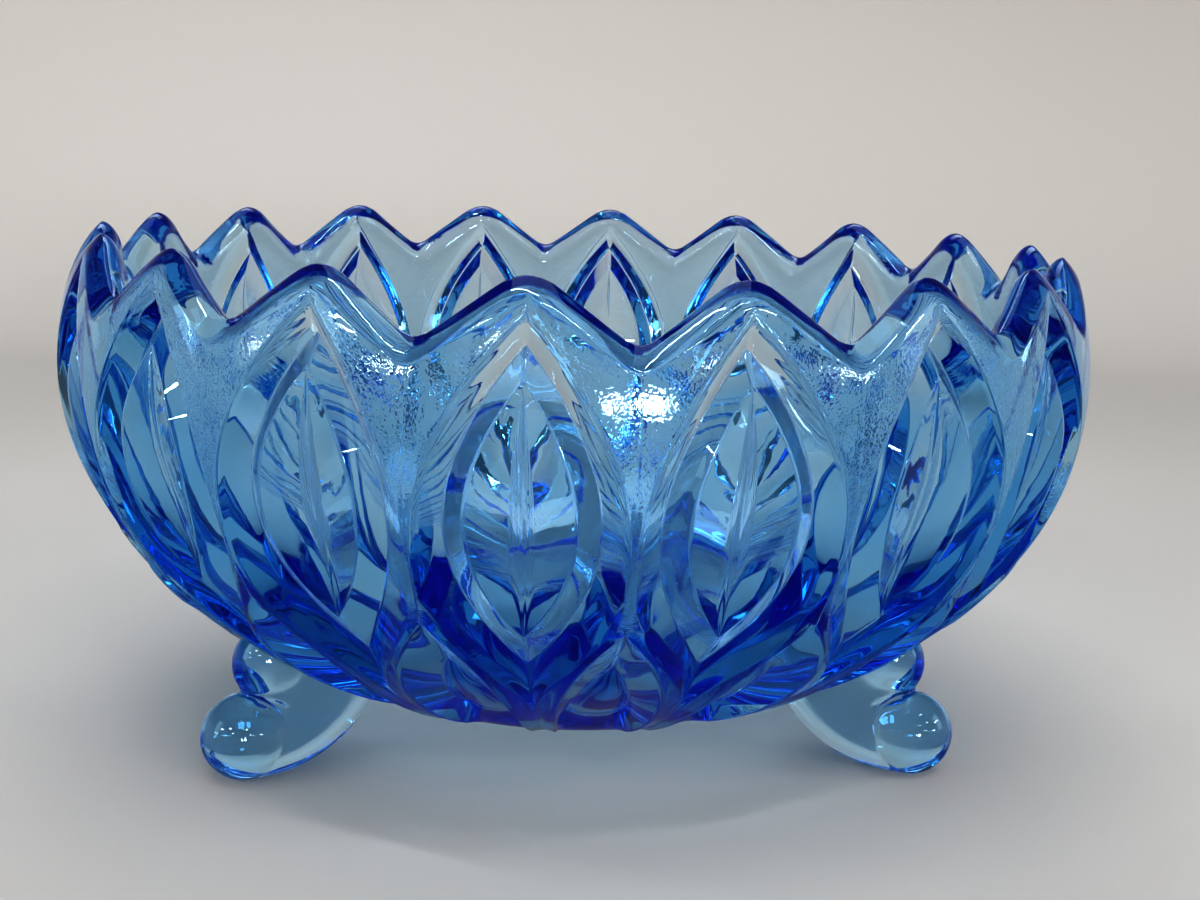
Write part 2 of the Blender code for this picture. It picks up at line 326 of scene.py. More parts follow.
def sepal_ridge(height, distance):
    """The ridge on the sepal's outline stands out of the wall, so its depth is below nothing."""
    ridge = -SEPAL_RIDGE * math.exp(-max(0.0, distance) / SEPAL_REACH)
    return ridge * ease((SEPAL_TOP - height) / SEPAL_POINT) * above_base(height, RIDGE_FOOT)


print("groove round the bud:", round(sepal_depth(BUD_TOP), 4), "m deep")

# %% [markdown]
# ## Half a panel
# The panel is the same on both sides of its middle and the same all round the bowl, so only half of one
# is placed. A grid gives the faces, and each grid point is moved to its place: the columns follow the
# lines above from the leaf's rib out to the valley between panels, and the rows run down them. Where a
# line has closed to a point its columns lie on each other, and merging turns those cells into clean
# triangles. The leaf's rows lag at the rib, so that a row of points already slants the way a vein does.

# %% Where a row meets the sepal
HALVINGS = 40


def meeting(edge_angle, edge_height, valley_height, width_at):
    """Angle where a row, on its way from the panel's edge to the valley, meets the outline of a sepal."""
    near, far = 0.0, 1.0
    for _ in range(HALVINGS):
        share = (near + far) / 2
        if (HALF_PANEL - edge_angle) * (1 - share) > width_at(blend(edge_height, valley_height, share)):
            near = share
        else:
            far = share
    return blend(edge_angle, HALF_PANEL, far)


print("sepal at the base:", round(math.degrees(sepal_width(BASE_HEIGHT)), 2), "degrees to each side")

# %% From the panel's edge to the valley
SEPAL_STEPS = (0.1, 0.5, 0.9, 1.0)
FLUTE_COLUMNS = 9
FLUTE_START = (0.00025, 0.0006)
FLUTE_ROOM = (0.2, 0.4)


def shoulder(distance):
    return SHOULDER_DEPTH * math.exp(-max(0.0, distance) / SHOULDER_REACH)


def plain_angles(edge_angle, sepal, radius):
    """Columns of the plain wall: close together at the panel's edge and at the sepal, even between them."""
    room = sepal - edge_angle
    near = [min(reach / radius, room * part) for reach, part in zip(FLUTE_START, FLUTE_ROOM)]
    starts = [edge_angle + reach for reach in near]
    ends = [sepal - reach for reach in reversed(near)]
    spaced = [HALF_PANEL * i / FLUTE_COLUMNS for i in range(1, FLUTE_COLUMNS)]
    return starts + [min(max(angle, starts[-1]), ends[0]) for angle in spaced] + ends + [sepal]


def flute_row(edge_angle, edge_height, valley_height):
    """The plain wall from the panel's edge to the sepal, then the sepal's groove and its bud."""
    sepal = meeting(edge_angle, edge_height, valley_height, sepal_width)
    bud = max(sepal, meeting(edge_angle, edge_height, valley_height, bud_width))
    radius = wall_at(valley_height)[0]

    def height_at(angle):
        return blend(edge_height, valley_height, (angle - edge_angle) / (HALF_PANEL - edge_angle))

    points = []
    for angle in plain_angles(edge_angle, sepal, radius):
        height = height_at(angle)
        depth = shoulder((angle - edge_angle) * radius) * above_base(height, RIDGE_FOOT)
        points.append((angle, height, depth + sepal_ridge(height, (sepal - angle) * radius)))
    for step in SEPAL_STEPS:
        angle = blend(sepal, bud, step)
        height = height_at(angle)
        points.append((angle, height, blend(sepal_ridge(height, 0.0), sepal_depth(height), step)))
    for step in SEPAL_STEPS:
        angle = blend(bud, HALF_PANEL, step)
        height = height_at(angle)
        rounded = bud_lift(height) * math.sqrt(step * (2 - step))
        points.append((angle, height, sepal_depth(height) - rounded))
    return points


print("columns of the flute and sepal:", len(flute_row(0.0, EDGE_TIP, VALLEY_END)))

# %% Columns and rows of the half panel
ROWS = 72
LEAF_STEPS = (0.0, 0.05, 0.12, 0.26, 0.42, 0.60, 0.78, 0.94, 1.0)
BAND_STEPS = (0.06, 0.25, 0.75, 0.94, 1.0)


def panel_row(row):
    """Angle, height and depth of every column in a row, from the leaf's rib to the valley."""
    share = row / ROWS
    leaf_angle, leaf_height = ogive(LEAF_TOP, LEAF_TIP, LEAF_WIDTH, share)
    groove_angle, groove_height = ogive(GROOVE_TOP, GROOVE_TIP, GROOVE_WIDTH, share)
    edge_angle, edge_height = ogive(EDGE_TOP, EDGE_TIP, EDGE_WIDTH, share, long_tip=True)
    rib_height = blend(LEAF_TOP, LEAF_TIP, share + VEIN_LAG * hump(share))
    rib_depth = blend(leaf_depth(share), LEAF_MIDDLE_DEPTH, hump(share))
    points = []
    for across in LEAF_STEPS:
        lift = rib_lift(share, across) + vein_lift(row, ROWS, across)
        depth = blend(rib_depth, leaf_depth(share), across) - lift
        points.append((leaf_angle * across, blend(rib_height, leaf_height, across), depth))
    for across in BAND_STEPS:
        depth = blend(leaf_depth(share), groove_depth(share), across)
        height = blend(leaf_height, groove_height, across)
        points.append((blend(leaf_angle, groove_angle, across), height, depth))
    bow = 1 + BAND_BOW * (1 - share) ** 2
    for across in BAND_STEPS:
        depth = blend(SHOULDER_DEPTH, groove_depth(share), (1 - across) ** bow)
        height = blend(groove_height, edge_height, across)
        points.append((blend(groove_angle, edge_angle, across), height, depth))
    valley_height = blend(crest_height(HALF_PANEL) - (HEIGHT - EDGE_TOP), VALLEY_END, share)
    return points + flute_row(edge_angle, edge_height, valley_height)


panel = [panel_row(row) for row in range(ROWS + 1)]
PLAIN_FROM = len(LEAF_STEPS) + 2 * len(BAND_STEPS) - 1
PLAIN_TO = PLAIN_FROM + 2 * len(FLUTE_START) + FLUTE_COLUMNS
print("half panel:", len(panel[0]), "columns and", len(panel), "rows")

# %% [markdown]
# ## The rim and the inside
# Above the panels the wall runs up to the rim, rolls over it and goes down the smooth inside, whose
# floor is dished like a plate. A bevel could round the rim, but it would give both sides the same
# curve. Here the rim's section is a curve between a circle and a roof, straighter outside than inside,
# with its crest in the middle of the wall. The strip starts from the columns of the plain wall, so it
# shares its points with the panel.

# %% The smooth inside and its floor
RIM_INSIDE = 0.0046
INNER_ROWS = 20
DISH_REACH = 0.016


def inner_point(angle, share):
    rim_turn = wall_turn(crest_height(angle) - RIM_INSIDE)
    height = wall_height(blend(rim_turn, wall_turn(BASE_HEIGHT), share))
    return on_wall(angle, height, wall_at(height)[2])


def dish_point(angle, share):
    """The floor inside: it goes on from the wall's slope and flattens out."""
    edge, above = inner_point(angle, 1.0), inner_point(angle, 1.0 - 1.0 / INNER_ROWS)
    radius, steep = math.hypot(edge.x, edge.y), math.hypot(above.x, above.y)
    slope = (above.z - edge.z) / (steep - radius)
    r = radius - DISH_REACH * share
    z = edge.z - slope * DISH_REACH * (share - share**2 / 2)
    return Vector((r * math.cos(angle), r * math.sin(angle), z))


for name, share in (("top", 0.0), ("bottom", 1.0)):
    print("inside,", name, [round(v, 4) for v in inner_point(0, share)])

# %% The strip above a panel
RIM_OUTSIDE = 0.0040
OUTER_RIDGE = 1.7
INNER_RIDGE = 1.2
CREST_SHARE = 0.5
LIP_ROWS = 2
RIM_STEPS = 14
DISH_ROWS = 5


def crest_point(angle, outer, step):
    """A point of the rolled rim, from its outer face over the crest to its inner face."""
    inner = inner_point(angle, 0.0)
    turn = math.pi * step / RIM_STEPS
    ridge = OUTER_RIDGE if math.cos(turn) > 0 else INNER_RIDGE
    side = math.copysign(abs(math.cos(turn)) ** ridge, math.cos(turn))
    across = CREST_SHARE * (1 - side) if side > 0 else blend(CREST_SHARE, 1.0, -side)
    fall = (RIM_OUTSIDE if side > 0 else RIM_INSIDE) * (1 - math.sin(turn) ** ridge)
    point = outer.lerp(inner, across)
    point.z = crest_height(angle) - fall
    return point


def rim_point(column, row):
    angle, height, depth = panel[0][PLAIN_FROM + column]
    outer = on_wall(angle, crest_height(angle) - RIM_OUTSIDE)
    rim_end = LIP_ROWS + RIM_STEPS
    if row <= LIP_ROWS:
        share = row / LIP_ROWS
        return on_wall(angle, blend(height, outer.z, share), depth * (1 - ease(share)))
    if row <= rim_end:
        return crest_point(angle, outer, row - LIP_ROWS)
    if row <= rim_end + INNER_ROWS:
        return inner_point(angle, (row - rim_end) / INNER_ROWS)
    return dish_point(angle, (row - rim_end - INNER_ROWS) / DISH_ROWS)


rim_rows = LIP_ROWS + RIM_STEPS + INNER_ROWS + DISH_ROWS
print("rim strip:", rim_rows, "rows")

# %% [markdown]
# ## The strip below a panel
# Below the panel's tip only the sepals go on, down to the edge of the flat underside. Their rows are
# the same as those of the panel, with the panel itself closed to nothing.

# %% The strip below a panel
BASE_ROWS = 9


def base_row(row):
    share = row / BASE_ROWS
    edge_height = wall_height(blend(wall_turn(EDGE_TIP), wall_turn(BASE_HEIGHT), share))
    valley_height = wall_height(blend(wall_turn(VALLEY_END), wall_turn(BASE_HEIGHT), share))
    edge = (0.0, edge_height, SHOULDER_DEPTH * above_base(edge_height, RIDGE_FOOT))
    return [edge] + flute_row(0.0, edge_height, valley_height)


base = [base_row(row) for row in range(BASE_ROWS + 1)]
print("base strip:", len(base[0]), "columns and", len(base), "rows")

# %% [markdown]
# ## One bowl from half a panel
# The half panel and its strips are laid as grids, and the depth and height of every point are kept on
# the mesh, to be used again where the feet join. They are mirrored about the panel's middle, then a
# spin repeats the panel round the axis, and the seams are merged. The two open rings that are left, at
# the underside and at the floor inside, are filled. A spin of copies can leave faces turned round, so
# the normals are worked out once the shell is closed.

# %% Lay the half panel and its strips
WELD = 1e-6
PLAIN_PEBBLE = 1.0
PANEL_PEBBLE = 0.06


def add_grid(bm, column_count, row_count, place):
    made = bmesh.ops.create_grid(bm, x_segments=column_count, y_segments=row_count, size=0.5)
    for vert in made["verts"]:
        vert.co = place(round((vert.co.x + 0.5) * column_count), round((vert.co.y + 0.5) * row_count), vert)


bowl_bm = bmesh.new()
depth_layer = bowl_bm.verts.layers.float.new("depth")
level_layer = bowl_bm.verts.layers.float.new("level")
pebble_layer = bowl_bm.verts.layers.float.new("pebble")


def place_relief(rows, first_plain):
    def place(column, row, vert):
        angle, height, depth = rows[row][column]
        vert[depth_layer] = depth
        vert[level_layer] = height
        on_plain = 0 < column - first_plain <= PLAIN_TO - PLAIN_FROM
        vert[pebble_layer] = PLAIN_PEBBLE if on_plain else PANEL_PEBBLE
        return on_wall(angle, height, depth)

    return place


add_grid(bowl_bm, len(panel[0]) - 1, ROWS, place_relief(panel, PLAIN_FROM))
add_grid(bowl_bm, len(base[0]) - 1, BASE_ROWS, place_relief(base, 0))
add_grid(bowl_bm, PLAIN_TO - PLAIN_FROM, rim_rows, lambda column, row, vert: rim_point(column, row))
bmesh.ops.remove_doubles(bowl_bm, verts=bowl_bm.verts, dist=WELD)
print("half a panel:", len(bowl_bm.faces), "faces")


# %% Mirror and repeat them
def everything(bm):
    return bm.verts[:] + bm.edges[:] + bm.faces[:]


bmesh.ops.mirror(bowl_bm, geom=everything(bowl_bm), matrix=Matrix(), merge_dist=WELD, axis="Y")
bmesh.ops.spin(
    bowl_bm,
    geom=everything(bowl_bm),
    axis=(0, 0, 1),
    cent=(0, 0, 0),
    angle=2 * math.pi * (PANELS - 1) / PANELS,
    steps=PANELS - 1,
    use_duplicate=True,
)
bmesh.ops.remove_doubles(bowl_bm, verts=bowl_bm.verts, dist=WELD)
bmesh.ops.dissolve_degenerate(bowl_bm, edges=bowl_bm.edges, dist=WELD)
discs = bmesh.ops.holes_fill(bowl_bm, edges=bowl_bm.edges, sides=0)["faces"]
print("open rings filled:", len(discs), "- faces:", len(bowl_bm.faces))

# %% [markdown]
# ## Plain pads for the feet
# Where a foot grows out of the bowl the mould has no pattern: the glass is full there. The panels could
# be made again without it, but a pad is narrower than a panel. So round each foot the relief fades out,
# by placing each point again with less of its own depth. An inset keeps the two filled discs flat up to
# their edge.

# %% Fade the relief where the feet join
FOOT_ANGLES = [math.radians(degrees) for degrees in (-150, -30, 90)]
PAD_HALF_WIDTH = 0.0082
PAD_FADE = 0.0030
PAD_TOP = 0.0290
DISC_INSET = 0.002


def pad_share(point):
    """1 under a foot, 0 away from it."""
    radius = math.hypot(point.x, point.y)
    angle = math.atan2(point.y, point.x)
    aside = min(abs(math.remainder(angle - foot, 2 * math.pi)) for foot in FOOT_ANGLES) * radius
    beside = ease((PAD_HALF_WIDTH + PAD_FADE - aside) / PAD_FADE)
    return beside * ease((PAD_TOP + 2 * PAD_FADE - point.z) / PAD_FADE)


padded_points = 0
for vert in bowl_bm.verts:
    if vert[depth_layer] != 0 and vert.co.z < PAD_TOP + 2 * PAD_FADE:
        share = pad_share(vert.co)
        if share > 0:
            angle = math.atan2(vert.co.y, vert.co.x)
            vert.co = on_wall(angle, vert[level_layer], vert[depth_layer] * (1 - share))
            padded_points += 1
bmesh.ops.inset_individual(bowl_bm, faces=discs, thickness=DISC_INSET)
bmesh.ops.recalc_face_normals(bowl_bm, faces=bowl_bm.faces)
print("points moved for the feet:", padded_points)


# %% Make the bowl's object
def new_piece(name, bm):
    mesh = bpy.data.meshes.new(name)
    bm.to_mesh(mesh)
    bm.free()
    mesh.shade_smooth()
    piece = bpy.data.objects.new(name, mesh)
    bpy.context.scene.collection.objects.link(piece)
    return piece


bowl = new_piece("pressed_bowl", bowl_bm)
triangles = sum(len(polygon.vertices) - 2 for polygon in bowl.data.polygons)
print("bowl:", len(bowl.data.polygons), "faces,", triangles, "triangles")

# %% [markdown]
# ## Scroll feet
# Each foot is a thick slab that leaves the underside of the bowl, sweeps down to the table and ends in
# a round toe, with a round lobe above it and a notch between the two. Seen from the side it is one
# outline of arcs, so the slab starts as that outline. The lobe's arc is drawn small, because a knob
# will fill it.

# %% Outline of the slab
TOE_RADIUS = 0.0084
TOE_REACH = 0.0762
LOBE_RADIUS = 0.0082
LOBE_LEAN = math.radians(23.7)
LOBE_OVERLAP = 0.0012
LOBE_CORE = 0.6
SOLE_LENGTH = 0.0042
HEEL_REACH = 0.049
ARC_STEPS = 20


def arc(centre, radius, start, end):
    turns = [blend(start, end, step / ARC_STEPS) for step in range(ARC_STEPS + 1)]
    return [centre + radius * Vector((math.cos(turn), math.sin(turn))) for turn in turns]


toe = Vector((TOE_REACH, TOE_RADIUS))
lobe_way = Vector((-math.sin(LOBE_LEAN), math.cos(LOBE_LEAN)))
apart = TOE_RADIUS + LOBE_RADIUS - LOBE_OVERLAP
lobe = toe + lobe_way * apart
along = (TOE_RADIUS**2 - LOBE_RADIUS**2 + apart**2) / (2 * apart)
notch = toe + lobe_way * along + Vector((lobe_way.y, -lobe_way.x)) * math.sqrt(TOE_RADIUS**2 - along**2)
toe_end = math.atan2(notch.y - toe.y, notch.x - toe.x)
lobe_start = math.atan2(notch.y - lobe.y, notch.x - lobe.x)
sole_end = TOE_REACH - SOLE_LENGTH
heel_height = BELLY_HEIGHT - LOWER_AXIS * math.sqrt(1 - (HEEL_REACH / BELLY_RADIUS) ** 2)
heel_reach = sole_end - HEEL_REACH
heel_radius = (heel_reach**2 + heel_height**2) / (2 * heel_height)
heel_turn = -math.pi / 2 - 2 * math.atan2(heel_height, heel_reach)
outline = arc(toe, TOE_RADIUS, -math.pi / 2, toe_end)
outline += arc(lobe, LOBE_RADIUS * LOBE_CORE, lobe_start, math.pi / 2)
outline += [Vector((HEEL_REACH, lobe.y + LOBE_RADIUS))]
outline += arc(Vector((sole_end, heel_radius)), heel_radius, heel_turn, -math.pi / 2)
print("foot outline:", len(outline), "points, notch at", [round(v, 4) for v in notch])

# %% [markdown]
# ### Slab, toe and lobe
# The outline is pulled out to the slab's thickness, and its edges are rounded until little of the flat
# faces is left, as on glass that came soft out of a mould. The toe and the lobe swell out past the
# slab, so each is a flattened ball set into it. They only overlap here, and become one skin later.

# %% Pull the slab and set the balls
SLAB_HALF = 0.0058
SLAB_ROUND = 0.0050
TOE_HALF = 0.0080
LOBE_HALF = 0.0066


def add_ball(bm, centre, radius, half_width):
    shape = Matrix.Translation((centre.x, 0, centre.y)) @ Matrix.Diagonal((radius, half_width, radius, 1))
    bmesh.ops.create_uvsphere(bm, u_segments=48, v_segments=32, radius=1.0, matrix=shape)


foot_bm = bmesh.new()
slab_face = foot_bm.faces.new([foot_bm.verts.new((x, -SLAB_HALF, z)) for x, z in outline])
pulled = bmesh.ops.extrude_face_region(foot_bm, geom=[slab_face], use_keep_orig=True)["geom"]
pulled_verts = [item for item in pulled if isinstance(item, bmesh.types.BMVert)]
bmesh.ops.translate(foot_bm, verts=pulled_verts, vec=(0, 2 * SLAB_HALF, 0))
bmesh.ops.recalc_face_normals(foot_bm, faces=foot_bm.faces)
rims = [e for e in foot_bm.edges if abs(e.verts[0].co.y - e.verts[1].co.y) < WELD]
bmesh.ops.bevel(
    foot_bm, geom=rims, offset=SLAB_ROUND, segments=6, profile=0.5, affect="EDGES", material=-1
)
add_ball(foot_bm, toe, TOE_RADIUS, TOE_HALF)
add_ball(foot_bm, lobe, LOBE_RADIUS, LOBE_HALF)
rough_foot = new_piece("rough_foot", foot_bm)
print("rough foot:", len(rough_foot.data.polygons), "faces")

# %% [markdown]
# ### The crease
# A scroll's curl is drawn by a crease that starts at the notch and runs round the toe, getting
# shallower until it is gone. It is cut with a tool: a bent rod that lies in the slab's face at the
# notch and rises out of it towards its far end. A circle spun about the toe gives the rod, and a mirror
# gives the rod of the other face.

# %% Make the crease tool
CREASE_RING = 0.0076
CREASE_ROUND = 0.0019
CREASE_SINK = 0.0004
CREASE_LIFT = 0.0028
CREASE_SPAN = math.radians(130)
CREASE_STEPS = 30
CREASE_SIDES = 12
WRAP_BACK = math.pi / 4


def crease_tool():
    """A bent rod that lies in each face beside the toe and rises out of it towards its end."""
    bm = bmesh.new()
    start = Matrix.Translation((toe.x, SLAB_HALF - CREASE_SINK, toe.y)) @ Matrix.Rotation(-toe_end, 4, "Y")
    rod = start @ Matrix.Translation((CREASE_RING, 0, 0))
    bmesh.ops.create_circle(bm, cap_ends=False, segments=CREASE_SIDES, radius=CREASE_ROUND, matrix=rod)
    bmesh.ops.spin(
        bm,
        geom=bm.verts[:] + bm.edges[:],
        axis=(0, -1, 0),
        cent=(toe.x, 0, toe.y),
        angle=CREASE_SPAN,
        steps=CREASE_STEPS,
    )
    bmesh.ops.holes_fill(bm, edges=bm.edges, sides=0)
    for vert in bm.verts:
        turn = math.atan2(vert.co.z - toe.y, vert.co.x - toe.x) - toe_end
        turned = (turn + WRAP_BACK) % (2 * math.pi) - WRAP_BACK
        vert.co.y += CREASE_LIFT * clamp01(turned / CREASE_SPAN)
    bmesh.ops.mirror(bm, geom=everything(bm), matrix=Matrix(), merge_dist=WELD, axis="Y")
    bmesh.ops.recalc_face_normals(bm, faces=bm.faces)
    return new_piece("crease_tool", bm)


crease = crease_tool()
print("crease tool:", len(crease.data.polygons), "faces")

# %% [markdown]
# ### Weld and polish
# A real foot has no seams: a voxel remesh welds the slab and the balls into one skin, the crease is
# cut, and a second remesh evens the thin faces of the cut. A few passes of smoothing then soften every
# edge, as a flame does when pressed glass is fire-polished.

# %% Weld, crease and polish
VOXEL = 0.00042
POLISH_PASSES = 6


def weld_with(piece, name):
    weld = piece.modifiers.new(name, "REMESH")
    weld.mode = "VOXEL"
    weld.voxel_size = VOXEL


def cut_with(piece, name, tool):
    cut = piece.modifiers.new(name, "BOOLEAN")
    cut.operation = "DIFFERENCE"
    cut.solver = "EXACT"
    cut.object = tool


def finished_mesh(piece, *tools):
    """The mesh with its modifiers applied, once the piece and its tools are put away."""
    graph = bpy.context.evaluated_depsgraph_get()
    mesh = bpy.data.meshes.new_from_object(piece.evaluated_get(graph))
    for used in (piece, *tools):
        bpy.data.objects.remove(used)
    return mesh


weld_with(rough_foot, "weld")
cut_with(rough_foot, "crease", crease)
weld_with(rough_foot, "weld_again")
polished_bm = bmesh.new()
polished_bm.from_mesh(finished_mesh(rough_foot, crease))
for _ in range(POLISH_PASSES):
    bmesh.ops.smooth_vert(
        polished_bm, verts=polished_bm.verts, factor=0.5, use_axis_x=True, use_axis_y=True, use_axis_z=True
    )
print("welded foot:", len(polished_bm.faces), "faces")

# %% [markdown]
# ## Seating the feet
# A foot and the bowl are one piece of glass, so light passes from one to the other without a break. Two
# glass pieces with air between them would mirror it instead. Each foot therefore reaches a hair into
# the bowl's wall, and its top is cut by a turned copy of the wall's shape, so both surfaces lie side by
# side.

# %% Turn the seat's shape
SEAT_SINK = 0.0003
SEAT_ROWS = 48
SEAT_TURNS = 180

seat_bm = bmesh.new()
path = [Vector((0, BELLY_HEIGHT))]
for row in range(SEAT_ROWS + 1):
    height = wall_height(wall_turn(BASE_HEIGHT) * row / SEAT_ROWS)
    radius, inward, _ = wall_at(height)
    path.append(Vector((radius, height)) + inward * SEAT_SINK)
path.append(Vector((0, path[-1].y)))
path_verts = [seat_bm.verts.new((r, 0, z)) for r, z in path]
path_edges = [seat_bm.edges.new(pair) for pair in zip(path_verts, path_verts[1:])]
bmesh.ops.spin(
    seat_bm,
    geom=path_verts + path_edges,
    axis=(0, 0, 1),
    cent=(0, 0, 0),
    angle=2 * math.pi,
    steps=SEAT_TURNS,
    use_merge=True,
)
bmesh.ops.remove_doubles(seat_bm, verts=seat_bm.verts, dist=WELD)
bmesh.ops.recalc_face_normals(seat_bm, faces=seat_bm.faces)
seat = new_piece("seat", seat_bm)
print("seat:", len(seat.data.polygons), "faces")

# %% Set the three feet
uncut = new_piece("uncut_foot", polished_bm)
cut_with(uncut, "seat", seat)
foot_mesh = finished_mesh(uncut, seat)

feet = {}
for place, angle in zip(("front_left", "front_right", "back"), FOOT_ANGLES):
    mesh = foot_mesh.copy()
    mesh.name = f"glass_foot_{place}"
    mesh.transform(Matrix.Rotation(angle, 4, "Z"))
    mesh.shade_smooth()
    feet[place] = bpy.data.objects.new(mesh.name, mesh)
    bpy.context.scene.collection.objects.link(feet[place])
lowest = min(vert.co.z for vert in foot_mesh.vertices)
print("foot:", len(foot_mesh.polygons), "faces, lowest point", round(lowest, 5))

# %% [markdown]
# ## The mould's marks
# The mould leaves a fine pebble on the plain wall between the panels, and faint flow marks elsewhere.
# They are a few hundredths of a millimetre high, too fine for a mesh, and break up highlights into
# sparkle. Two noises make them, and the bowl's mesh says by an attribute where the pebble lies.

# %% Pebble and flow marks
PEBBLE_SCALE = 1500.0
FLOW_SCALE = 140.0
FLOW_SHARE = 0.2
FOOT_PEBBLE = 0.1
MARK_STRENGTH = 0.28
MARK_HEIGHT = 0.00012


def add_noise(nodes, links, place, scale, detail):
    marks = nodes.new("ShaderNodeTexNoise")
    marks.inputs["Scale"].default_value = scale
    marks.inputs["Detail"].default_value = detail
    links.new(place.outputs["Object"], marks.inputs["Vector"])
    return marks


def add_mould_marks(nodes, links, pebble_from_mesh):
    """A bump node with the mould's marks."""
    place = nodes.new("ShaderNodeTexCoord")
    pebble = add_noise(nodes, links, place, PEBBLE_SCALE, 1.0)
    flow = add_noise(nodes, links, place, FLOW_SCALE, 2.0)
    pebble_height = nodes.new("ShaderNodeMath")
    pebble_height.operation = "MULTIPLY"
    pebble_height.inputs[1].default_value = FOOT_PEBBLE
    links.new(pebble.outputs["Fac"], pebble_height.inputs[0])
    if pebble_from_mesh:
        amount = nodes.new("ShaderNodeAttribute")
        amount.attribute_name = "pebble"
        links.new(amount.outputs["Fac"], pebble_height.inputs[1])
    both = nodes.new("ShaderNodeMath")
    both.operation = "MULTIPLY_ADD"
    both.inputs[1].default_value = FLOW_SHARE
    links.new(flow.outputs["Fac"], both.inputs[0])
    links.new(pebble_height.outputs["Value"], both.inputs[2])
    bump = nodes.new("ShaderNodeBump")
    bump.inputs["Strength"].default_value = MARK_STRENGTH
    bump.inputs["Distance"].default_value = MARK_HEIGHT
    links.new(both.outputs["Value"], bump.inputs["Height"])
    return bump


print("pebble grains about", round(1000 / PEBBLE_SCALE, 2), "mm across")

# %% [markdown]
# ## The glass
# The colour of this glass is in its depth and not on its surface: thin edges are pale, and light that
# has travelled far through the wall comes out cobalt. So the surface is clear and the volume absorbs,
# most in red and least in blue. Inside such a wall light is mirrored many times, so its reflections are
# tinted blue as well, which keeps the deep places from turning grey.

# %% Blue glass
GLASS_IOR = 1.52
SURFACE_COLOUR = (0.985, 0.992, 1.0, 1.0)
ABSORB_COLOUR = (0.14, 0.66, 0.925, 1.0)
ABSORB_DENSITY = 77.0
REFLECT_TINT = (0.50, 0.80, 1.0, 1.0)


def blue_glass(name, pebble_from_mesh):
    material = bpy.data.materials.new(name)
    material.use_nodes = True
    nodes, links = material.node_tree.nodes, material.node_tree.links
    surface = nodes["Principled BSDF"]
    surface.inputs["Base Color"].default_value = SURFACE_COLOUR
    surface.inputs["Transmission Weight"].default_value = 1.0
    surface.inputs["IOR"].default_value = GLASS_IOR
    surface.inputs["Roughness"].default_value = 0.0
    surface.inputs["Specular Tint"].default_value = REFLECT_TINT
    absorb = nodes.new("ShaderNodeVolumeAbsorption")
    absorb.inputs["Color"].default_value = ABSORB_COLOUR
    absorb.inputs["Density"].default_value = ABSORB_DENSITY
    links.new(absorb.outputs["Volume"], nodes["Material Output"].inputs["Volume"])
    marks = add_mould_marks(nodes, links, pebble_from_mesh)
    links.new(marks.outputs["Normal"], surface.inputs["Normal"])
    return material


bowl.data.materials.append(blue_glass("bowl_glass_blue", True))
foot_glass = blue_glass("foot_glass_blue", False)
for foot in feet.values():
    foot.data.materials.clear()
    foot.data.materials.append(foot_glass)
print("glass:", [m.name for m in bpy.data.materials if "blue" in m.name])

# %% [markdown]
# ## The floor
# A pale cove, a floor that curves up into a wall, gives the glass something plain to show through
# itself. It is seen through the glass but isn't mirrored in it: a real table is darker close under the
# bowl, and its mirror image would lie as a grey haze on the lower wall.

# %% Pale cove
COVE_FRONT = -2.2
COVE_BACK = 0.75
COVE_TOP = 0.9
COVE_SIDE = 1.8
COVE_BEND = 0.25
BEND_STEPS = 16
FLOOR_COLOUR = (0.41, 0.415, 0.42, 1)
FLOOR_ROUGHNESS = 0.9


def cove():
    bm = bmesh.new()
    bend_start = COVE_BACK - COVE_BEND
    path = [Vector((-COVE_SIDE, COVE_FRONT, 0)), Vector((-COVE_SIDE, bend_start, 0))]
    for step in range(1, BEND_STEPS + 1):
        turn = math.pi / 2 * step / BEND_STEPS
        along, rise = COVE_BEND * math.sin(turn), COVE_BEND - COVE_BEND * math.cos(turn)
        path.append(Vector((-COVE_SIDE, bend_start + along, rise)))
    path.append(Vector((-COVE_SIDE, COVE_BACK, COVE_TOP)))
    verts = [bm.verts.new(point) for point in path]
    edges = [bm.edges.new(pair) for pair in zip(verts, verts[1:])]
    pulled = bmesh.ops.extrude_edge_only(bm, edges=edges)["geom"]
    moved = [item for item in pulled if isinstance(item, bmesh.types.BMVert)]
    bmesh.ops.translate(bm, verts=moved, vec=(2 * COVE_SIDE, 0, 0))
    bmesh.ops.recalc_face_normals(bm, faces=bm.faces)
    return new_piece("pale_cove", bm)


floor = cove()
floor_paint = bpy.data.materials.new("pale_floor")
floor_paint.use_nodes = True
paint = floor_paint.node_tree.nodes["Principled BSDF"]
paint.inputs["Base Color"].default_value = FLOOR_COLOUR
paint.inputs["Roughness"].default_value = FLOOR_ROUGHNESS
floor.data.materials.append(floor_paint)
floor.visible_glossy = False
print("cove:", len(floor.data.polygons), "faces")

# %% [markdown]
# ## Soft panels
# Glass is drawn by what it reflects, so every light is a panel whose mirror image has a shape. A wide
# one overhead and one at each side light the floor. Two strips overhead make thin lines along the rim
# and the ridges. A small one behind the bowl makes its far wall glow. None of them is seen by the
# camera itself.

# %% Wide panels and strips
AIM = (0, 0, 0.06)


def soft_panel(name, place, size, power, target=AIM, spread=math.pi, colour=(1, 1, 1)):
    lamp = bpy.data.lights.new(name, "AREA")
    lamp.shape = "RECTANGLE"
    lamp.size, lamp.size_y = size
    lamp.energy = power
    lamp.color = colour
    lamp.spread = spread
    panel_light = bpy.data.objects.new(name, lamp)
    panel_light.location = place
    panel_light.rotation_euler = (Vector(target) - Vector(place)).to_track_quat("-Z", "Y").to_euler()
    panel_light.visible_camera = False
    bpy.context.scene.collection.objects.link(panel_light)


